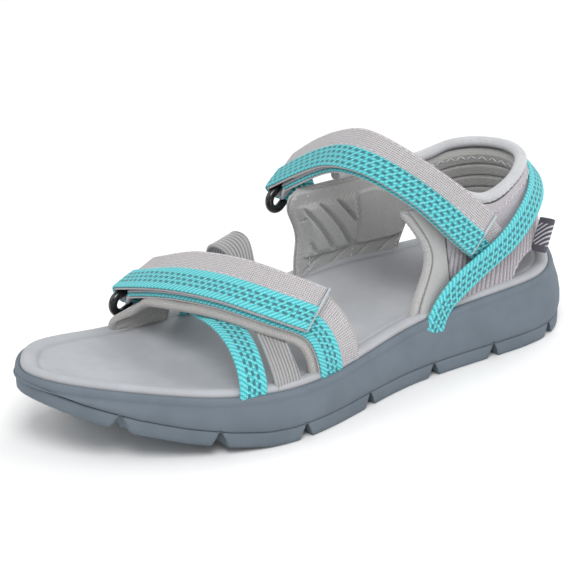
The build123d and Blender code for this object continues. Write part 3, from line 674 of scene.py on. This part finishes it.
def closure(name, tab_f, tab_r, anchor_f, anchor_r, bar_down, keep_f, keep_r, dashes=3, rows=2.25):
    tab = name + "_tab"
    f, r, at = smooth_rails(tab_f, tab_r, 1.0)
    centre, wide, outward, forward, width = bar_frame(f, r)
    arc_f, arc_r = arc_rails(centre, wide, outward, forward, width, WRAP, 0, math.pi)
    long_f, long_r = np.concatenate([f, arc_f[1:]]), np.concatenate([r, arc_r[1:]])
    teal = dashed(name + "_teal", width * SHARE, dashes, rows=rows)
    piece = strip(tab + "_webbing_cloth", long_f, long_r, TRIM + PLY_GAP, PLY, smoothing=False, across=20,
                  material=GREY_WEB)
    finishing(piece, tab + "_webbing", tab)
    piece = strip(tab + "_trim_cloth", long_f, long_r, 0, TRIM, 0, SHARE, smoothing=False, across=16,
                  crown=0.12, material=teal)
    finishing(piece, tab + "_trim", tab)
    cut = len(f) - max(4, int(len(f) / (len(tab_f) - 1)))
    piece = strip(name + "_hook_cloth", f[:cut], r[:cut], PLY + PLY_GAP, TAB, 0.05, 0.95, smoothing=False,
                  material=TAPE_HOOK)
    finishing(piece, name + "_hook_tape", tab)
    ahead = frames(f, r)[2][0]
    cap_f = np.array([f[0] - ahead * 0.7, f[0] - ahead * 0.4, f[0] + ahead * 0.1])
    cap_r = np.array([r[0] - ahead * 0.7, r[0] - ahead * 0.4, r[0] + ahead * 0.1])
    piece = strip(name + "_sealed_end", cap_f, cap_r, 0.2, TAB - 0.4, smoothing=False, material=EDGE, roundness=0.6)
    finishing(piece, tab + "_end", tab)
    edge_row(name + "_stitch_rear", f, r, 0.955, TRIM + PLY_GAP, THREAD, tab)
    edge_row(name + "_stitch_mid", f, r, SHARE + 0.045, TRIM + PLY_GAP, THREAD, tab)

    raw_f, raw_r = inset(tab_f, tab_r, BASE)
    gone = (WRAP + 1.0) / np.linalg.norm((raw_f[-1] + raw_r[-1]) / 2 - (raw_f[-2] + raw_r[-2]) / 2)
    raw_f[-1] += (raw_f[-2] - raw_f[-1]) * gone
    raw_r[-1] += (raw_r[-2] - raw_r[-1]) * gone
    base_f, base_r = np.concatenate([anchor_f, raw_f]), np.concatenate([anchor_r, raw_r])
    bf, br, _ = smooth_rails(base_f, base_r, 1.0)
    base_width = float(np.mean(np.linalg.norm(br - bf, axis=1)))
    low_teal = dashed(name + "_low_teal", base_width * SHARE, dashes, rows=rows)
    piece = strip(name + "_base_webbing_cloth", bf, br, TRIM + PLY_GAP, PLY, smoothing=False, across=20,
                  material=GREY_WEB)
    finishing(piece, name + "_base_webbing")
    piece = strip(name + "_base_trim_cloth", bf, br, 0, TRIM, 0, SHARE, smoothing=False, across=16, crown=0.12,
                  material=low_teal)
    finishing(piece, name + "_base_trim")
    lf, lr, _ = smooth_rails(raw_f, raw_r, 1.0)
    piece = strip(name + "_loop_cloth", lf, lr, -PLY_GAP - LOOP, -PLY_GAP, 0.05, 0.95, smoothing=False,
                  material=TAPE_LOOP)
    finishing(piece, name + "_loop_tape")

    low = centre - outward * (WRAP - 0.7)
    turn_f = np.array([bf[-2], bf[-1], (bf[-1] + low - wide * width / 2) / 2, low - wide * width / 2])
    turn_r = np.array([br[-2], br[-1], (br[-1] + low + wide * width / 2) / 2, low + wide * width / 2])
    piece = strip(name + "_turn_cloth", turn_f, turn_r, 0.2, PLY, across=16, step=0.8, material=UNDER_WEB)
    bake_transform(piece)

    down = bar_down - wide * bar_down.dot(wide)
    down /= np.linalg.norm(down)
    keeper_bar = centre + down * BAR_SPACING
    out = np.cross(wide, down)
    turn = np.linspace(0.0, 5.4, 30)[:, None]
    loop = keeper_bar - (out * np.cos(turn) + down * np.sin(turn) * 1.0) * (BAR_R + BAR_GAP + KEEPER_THICK)
    kf = np.concatenate([keep_f[::-1], loop - wide * KEEPER_WIDTH / 2])
    kr = np.concatenate([keep_r[::-1], loop + wide * KEEPER_WIDTH / 2])
    kf, kr, _ = smooth_rails(kf, kr, 0.7)
    keeper_teal = dashed(name + "_keeper_teal", KEEPER_WIDTH)
    piece = strip(name + "_keeper_cloth", kf, kr, 0.0, 1.15, smoothing=False, material=keeper_teal)
    finishing(piece, name + "_keeper")
    return base_f, base_r


toe_base_f, toe_base_r = closure(
    "toe", TOE_TAB_F, TOE_TAB_R, TOE_ANCHOR_F, TOE_ANCHOR_R, TOE_HANG, TOE_KEEP_F, TOE_KEEP_R)
closure(
    "instep", INS_TAB_F, INS_TAB_R, INS_ANCHOR_F, INS_ANCHOR_R, INS_HANG, INS_KEEP_F, INS_KEEP_R, dashes=4)
for node in ("toe_ring", "instep_ring"):
    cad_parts[node].data.materials.clear()
    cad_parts[node].data.materials.append(RING)
    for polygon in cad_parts[node].data.polygons:
        polygon.use_smooth = True

# ------------------------------------------------------------------ forefoot
pad_f, pad_r = inset(toe_base_f, toe_base_r, PLY + PLY_GAP)
pad_f, pad_r = np.concatenate([pad_f[:-1], WING_F]), np.concatenate([pad_r[:-1], WING_R])
pf, pr = smooth_rails(pad_f, pad_r, 0.7)[:2]


def pleats(u, v, share_v, share_u):
    """Small gathers on the inner wing, where the padding turns down to the sole."""
    on_wing = float(ease(np.array(share_u), 0.74, 0.82))
    return on_wing * 0.5 * np.abs(np.sin(u * 0.9 + share_v * 3.0)) - 0.25 * on_wing


piece = strip("forefoot_padding", pf, pr, 0, PAD, -0.05, 1.03, smoothing=False, across=26, crown=0.0,
              crown_under=0.6, relief=pleats, material=LINING)
finishing(piece, "forefoot_lining")


def rolled_edge(name, f, r, share, depth, radius, material, body="shoe", start=0, stop=None, ribs=0.0):
    """A rolled binding: a round tube along the edge of a piece."""
    wide, outward, forward, width = frames(f, r)
    line = (f + (r - f) * share - outward * depth)[start:stop]
    wide, outward = wide[start:stop], outward[start:stop]
    run = np.concatenate([[0], np.cumsum(np.linalg.norm(np.diff(line, axis=0), axis=1))])
    rings, uvs = [], []
    for i in range(len(line)):
        end = min(1.0, math.sqrt(max(0.02, min(run[i], run[-1] - run[i]) / radius)))
        size = radius * end * (1 + ribs * math.sin(run[i] * 3.2))
        angle = np.linspace(0, 2 * math.pi, 14, endpoint=False)[:, None]
        rings.append(line[i] + (wide[i] * np.cos(angle) + outward[i] * np.sin(angle)) * size)
        uvs.append(np.stack([np.full(14, run[i]), angle[:, 0] * radius], 1))
    verts, faces = tube_grid(rings)
    uv = np.concatenate(uvs + [[uvs[0].mean(0)], [uvs[-1].mean(0)]])
    tube = mesh_object(name, verts, faces, uv, material=material)
    return finishing(tube, None, body)


rolled_edge("forefoot_edge_front", pf, pr, -0.06, PAD * 0.5, 1.55, LINING)
rolled_edge("forefoot_edge_rear", pf, pr, 1.035, PAD * 0.5, 1.4, LINING)
edge_row("forefoot_zigzag", pf, pr, 0.93, -0.05, THREAD, "shoe", 0.8, 1.8, 0.3, start=int(len(pf) * 0.74))
edge_row("forefoot_zigzag_front", pf, pr, 0.02, -0.05, THREAD, "shoe", 0.8, 1.8, 0.3, start=int(len(pf) * 0.74))

strap_width = float(np.mean(np.linalg.norm(TOE_STRAP_R - TOE_STRAP_F, axis=1)))
toe_teal = dashed("toe_strap_teal", strap_width, rows=2.1)
piece = strip("toe_strap_cloth", TOE_STRAP_F, TOE_STRAP_R, 0, TOE_STRAP_THICK, across=16, crown=0.15,
              material=toe_teal)
finishing(piece, "toe_strap")


def elastic_cords(u, v, share_v, share_u):
    """Fine ribs along the elastic, with a stouter rib at each edge."""
    return 0.22 * np.abs(np.sin(share_v * math.pi * 9)) + 0.12 * (np.abs(share_v - 0.5) > 0.42)


piece = strip("elastic_cloth", ELASTIC_F, ELASTIC_R, 0.15, ELASTIC_THICK, across=74, relief=elastic_cords,
              material=ELASTIC)
finishing(piece, "elastic_strap")

# ------------------------------------------------------------------ quarters
inner_f, inner_r = smooth_rails(IN_Q_HEEL, IN_Q_TOE, 0.45)[:2]


def quilting(u, v, share_v, share_u):
    """Padded diagonal channels on the inner quarter's lining."""
    along = float(ease(np.array(share_u), 0.40, 0.46) * (1 - ease(np.array(share_u), 0.86, 0.9)))
    zone = ease(share_v, 0.50, 0.54) * (1 - ease(share_v, 0.90, 0.94)) * along
    place = (u - v) * 0.707
    gap = np.abs((place / 6.4) % 1 - 0.5) * 6.4
    channel = 1 - np.exp(-((3.2 - gap) / 0.75) ** 2)
    border = 1 - np.exp(-((share_v - 0.5) * 60 / 0.9) ** 2 * along)
    arch = np.abs(u - 47 + 0.012 * (v - 34) ** 2)
    band = 1 - 0.9 * np.exp(-(arch / 0.8) ** 2)
    low = float(1 - ease(np.array(share_u), 0.38, 0.42))
    cross = np.abs(((u + v) * 0.707 / 9.0) % 1 - 0.5) * 9.0
    lattice = 1 - np.exp(-((4.5 - cross) / 0.7) ** 2)
    swell = ease(share_v, 0.02, 0.08) * (1 - ease(share_v, 0.93, 0.98))
    return swell * (zone * 2.3 * channel + (1 - zone) * 1.1 * border * band + low * 0.8 * (lattice - 1)) - 0.1


piece = strip("inner_quarter_padding", inner_f, inner_r, 0, QUARTER, smoothing=False, across=120,
              relief=quilting, material=QUARTER_LINING)
finishing(piece, "inner_quarter_lining")
piece = strip("inner_quarter_cloth", inner_f, inner_r, -SKIN - PLY_GAP, -PLY_GAP, 0, 0.95, smoothing=False,
              across=20, crown=0.3, material=SKIN_SMOOTH)
finishing(piece, "inner_quarter_skin")
rolled_edge("inner_quarter_edge", inner_f, inner_r, 0.985, QUARTER * 0.45, 1.9, QUARTER_LINING, ribs=0.03)
edge_row("inner_quarter_zigzag", inner_f, inner_r, 0.05, QUARTER + 0.35, THREAD, "shoe", 0.9, 1.8, 0.2, 0.25,
         inside=True)
edge_row("inner_quarter_seam", inner_f, inner_r, 0.91, QUARTER + 0.5, THREAD, "shoe", 0.0, 1.6, 0.9, 0.22,
         inside=True)
edge_row("inner_quarter_seam_mid", inner_f, inner_r, 0.5, QUARTER + 0.2, THREAD, "shoe", 0.0, 1.4, 1.0, 0.22,
         stop=int(len(inner_f) * 0.88), inside=True)

outer_f, outer_r = smooth_rails(OUT_Q_TOE, OUT_Q_HEEL, 0.7)[:2]
piece = strip("outer_quarter_padding", outer_f, outer_r, 0, QUARTER, smoothing=False, across=24, crown_under=0.5,
              material=QUARTER_LINING)
finishing(piece, "outer_quarter_lining")
piece = strip("outer_quarter_cloth", outer_f, outer_r, -SKIN - PLY_GAP, -PLY_GAP, 0.12, 1, smoothing=False,
              across=20, crown=0.25, material=SKIN_SMOOTH)
finishing(piece, "outer_quarter_skin")
rolled_edge("outer_quarter_edge", outer_f, outer_r, 0.03, QUARTER * 0.4, 1.8, QUARTER_LINING, ribs=0.06)

# ------------------------------------------------------------------ heel
band_f, band_r = smooth_rails(BAND_U, BAND_L, 0.5)[:2]


def gathers(u, v, share_v, share_u):
    """Slanted gathers along the outer side's lower half, running out to smooth cloth round the heel."""
    on = (1 - float(ease(np.array(share_u), 0.36, 0.46))) * ease(share_v, 0.4, 0.55)
    rib = np.abs(np.sin(math.pi * (u + v * 0.3) / 2.3)) ** 0.8 - 0.5
    return on * 0.8 * rib + 0.4 * np.sin(math.pi * np.clip(share_v, 0, 1))


def collar_channels(u, v, share_v, share_u):
    """Level padded channels inside the collar, between two stitched bands."""
    groove = sum(np.exp(-((v - at) / 0.45) ** 2) for at in (6.5, 12.0, 17.5, 23.0))
    return 0.9 - 1.0 * groove * (1 - ease(share_v, 0.75, 0.85))


piece = strip("heel_band_cloth", band_f, band_r, 0, SKIN, smoothing=False, across=48, relief=gathers, material=HEEL)
finishing(piece, "heel_band")
piece = strip("heel_padding", band_f, band_r, SKIN + PLY_GAP, SKIN + PLY_GAP + QUARTER, smoothing=False, across=60,
              relief=collar_channels, material=COLLAR_LINING)
finishing(piece, "heel_lining")

edge_row("collar_zigzag", band_f, band_r, 0.10, SKIN + PLY_GAP + QUARTER + 0.9, THREAD, "shoe", 0.9, 2.0, 0.2, 0.25,
         inside=True)
edge_row("band_hem_upper", band_f, band_r, 0.09, -0.25, THREAD, "shoe", 0.9, 1.8, 0.2, 0.22)
edge_row("band_hem_lower", band_f, band_r, 0.95, -0.15, THREAD, "shoe", 0.0, 1.6, 0.9, 0.2)

bind_out = np.concatenate([BAND_U[1:], BINDING_TAIL])
bind_in = []
for point in bind_out:
    turn = np.array([point[0] - COLLAR_CENTRE if point[0] > COLLAR_TURN else 0, point[1], 0.0])
    bind_in.append(point - turn / np.linalg.norm(turn) * COLLAR_WIDTH)
roll_f, roll_r = smooth_rails(np.array(bind_in), bind_out, 0.8)[:2]
piece = strip("collar_roll", roll_f, roll_r, -3.5, -0.1, smoothing=False, across=14, crown=0.5, material=BINDING)
finishing(piece, "collar_binding")
edge_row("collar_stitch", roll_f, roll_r, 0.96, -0.9, THREAD, "shoe", 0.0, 1.8, 0.9)

side_width = float(np.mean(np.linalg.norm(SIDE_L - SIDE_U, axis=1)))
side_teal = dashed("side_strap_teal", side_width)
piece = strip("side_strap_cloth", SIDE_U, SIDE_L, 0, SIDE_STRAP_THICK, across=18, crown=0.15, material=side_teal)
finishing(piece, "side_strap")

place, label_up = np.array([92.6, -27.0, 37.8]), np.array([0.48, 0.15, 0.86])
label_up /= np.linalg.norm(label_up)
label_out = np.array([0.25, -0.97, 0.03])
label_out -= label_up * label_out.dot(label_up)
label_out /= np.linalg.norm(label_out)
label_side = np.cross(label_up, label_out)
fold = np.array([(0.0, 0.5), (2.2, 0.85), (4.5, 1.0), (5.8, 0.6), (6.1, 0.0),
                 (5.8, -0.6), (4.5, -1.0), (2.2, -0.85), (0.0, -0.5)])
fold_f = place + fold[:, :1] * label_out + fold[:, 1:] * label_side
fold_r = fold_f + label_up * LABEL_LENGTH
piece = strip("heel_label_cloth", fold_f, fold_r, -0.45, 0.45, step=0.4, across=20, material=LABEL)
finishing(piece, "heel_label")

# ------------------------------------------------------------------ camera, light and floor
scene = bpy.context.scene
camera = bpy.data.objects.new("camera", bpy.data.cameras.new("camera"))
scene.collection.objects.link(camera)
back = Vector((-0.579, -0.740, 0.343)).normalized()
camera.location = Vector((0, 0, 0.040)) + back * 0.75323
camera.rotation_mode = "QUATERNION"
camera.rotation_quaternion = (-back).to_track_quat("-Z", "Y")
camera.data.sensor_width = 36
camera.data.lens = 121.7
camera.data.shift_x, camera.data.shift_y = -0.0389, -0.0221
camera.data.clip_start = 0.01
scene.camera = camera


def area_light(name, place, size, power, colour=(1, 1, 1)):
    light = bpy.data.lights.new(name, "AREA")
    light.size, light.energy, light.color = size, power, colour
    obj = bpy.data.objects.new(name, light)
    obj.location = place
    obj.rotation_mode = "QUATERNION"
    obj.rotation_quaternion = (-Vector(place)).to_track_quat("-Z", "Y")
    scene.collection.objects.link(obj)


area_light("key", (-0.5, -0.7, 1.1), 0.6, 9.5)
area_light("fill", (-0.9, 0.5, 0.8), 0.9, 3.5)
area_light("rim_light", (0.9, 0.4, 0.9), 0.8, 5)
area_light("side_light", (0.6, -0.9, 0.5), 0.9, 4)
world = bpy.data.worlds.new("studio")
world.use_nodes = True
world.node_tree.nodes["Background"].inputs[0].default_value = (1, 1, 1, 1)
world.node_tree.nodes["Background"].inputs[1].default_value = 0.62
scene.world = world
scene.view_settings.view_transform = "Standard"

floor_mesh = bpy.data.meshes.new("floor")
floor_mesh.from_pydata([(-6, -6, 0), (6, -6, 0), (6, 6, 0), (-6, 6, 0)], [], [(0, 1, 2, 3)])
floor = bpy.data.objects.new("floor", floor_mesh)
scene.collection.objects.link(floor)
floor_finish = bpy.data.materials.new("floor")
floor_finish.use_nodes = True
floor_finish.node_tree.nodes["Principled BSDF"].inputs["Base Color"].default_value = (0.9, 0.9, 0.9, 1)
floor_finish.node_tree.nodes["Principled BSDF"].inputs["Roughness"].default_value = 0.9
floor_mesh.materials.append(floor_finish)
